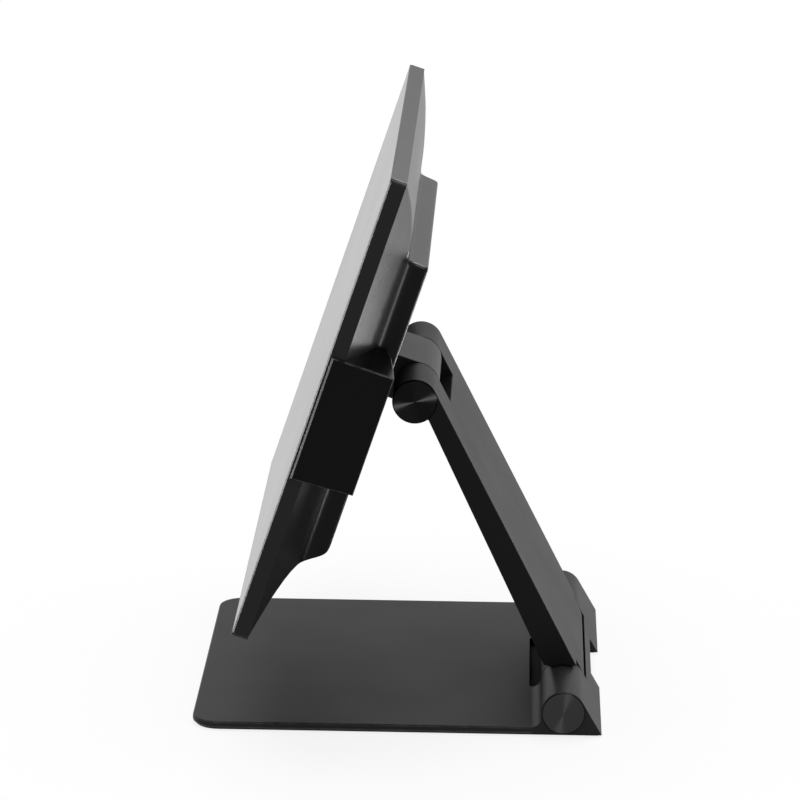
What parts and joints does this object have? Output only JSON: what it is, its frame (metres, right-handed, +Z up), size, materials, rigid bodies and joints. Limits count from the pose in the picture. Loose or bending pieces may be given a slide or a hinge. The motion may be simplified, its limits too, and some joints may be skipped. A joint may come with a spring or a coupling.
{
  "type": "touch screen terminal",
  "caption": "Touch-screen terminal with a tapered back and a side reader, on a folding stand with a flat base, a hinged arm and a tilting display bracket.",
  "frame": {"origin": "on the table, under the middle of the base", "axes": "+X to the user's right, +Y to the rear, +Z up; the screen faces -Y"},
  "size_m": [0.3458, 0.227, 0.3237],
  "materials": {
    "anodised_black": "fine satin anodised",
    "pad_rubber": "matt rubber",
    "pin_steel": "ground",
    "spun_cap": "spun in circles",
    "washer_steel": "rolled",
    "screw_steel": "plated",
    "housing_black": "fine matt texture",
    "touch_glass": "polished",
    "panel_back": "rolled metal back",
    "sheet_steel": "rolled",
    "circuit_board": "solder mask",
    "sink_aluminium": "extruded",
    "socket_shell": "plain",
    "button_grey": "matt",
    "reader_black": "smooth satin"
  },
  "bodies": {
    "base": {"base_casting": "anodised_black", "base_pad": "pad_rubber", "lower_pin": "pin_steel", "lower_caps": "spun_cap", "lower_washers": "washer_steel"},
    "arm": {"arm": "anodised_black"},
    "pivot": {"upper_pin": "pin_steel", "upper_caps": "spun_cap", "upper_washers": "washer_steel"},
    "display": {"neck_bracket": "anodised_black", "bracket_screws": "screw_steel", "rear_cover": "housing_black", "cover_screws": "screw_steel", "frame": "housing_black", "front_glass": "touch_glass", "lcd_panel": "panel_back", "chassis": "sheet_steel", "mainboard": "circuit_board", "board_screws": "screw_steel", "heat_sink": "sink_aluminium", "io_ports": "socket_shell", "touch_board": "circuit_board", "button_switch": "socket_shell", "reader_housing": "reader_black", "reader_cover": "reader_black", "reader_board": "circuit_board", "reader_screws": "screw_steel"},
    "button": {"power_button": "button_grey"}
  },
  "joints": [
    {"name": "arm_fold", "type": "hinge", "parent": "base", "child": "arm", "pos_m": [0, 0.09214, 0.0134], "axis": [1, 0, 0], "range_deg": [0, 60.5]},
    {"name": "display_fold", "type": "hinge", "parent": "arm", "child": "pivot", "pos_m": [0, 0.00752, 0.17735], "axis": [1, 0, 0], "range_deg": [-121, 0]},
    {"name": "display_tilt", "type": "hinge", "parent": "pivot", "child": "display", "pos_m": [0, 0.00752, 0.17735], "axis": [-1, 0, 0], "range_deg": [-12, 11]},
    {"name": "power_press", "type": "slide", "parent": "display", "child": "button", "axis": [0, 0.3173, 0.9483], "range_m": [0, 0.0008], "stiffness_N_per_m": 2000}
  ],
  "couplings": [
    {"joint": "display_fold", "follows": "arm_fold", "ratio": -2}
  ]
}
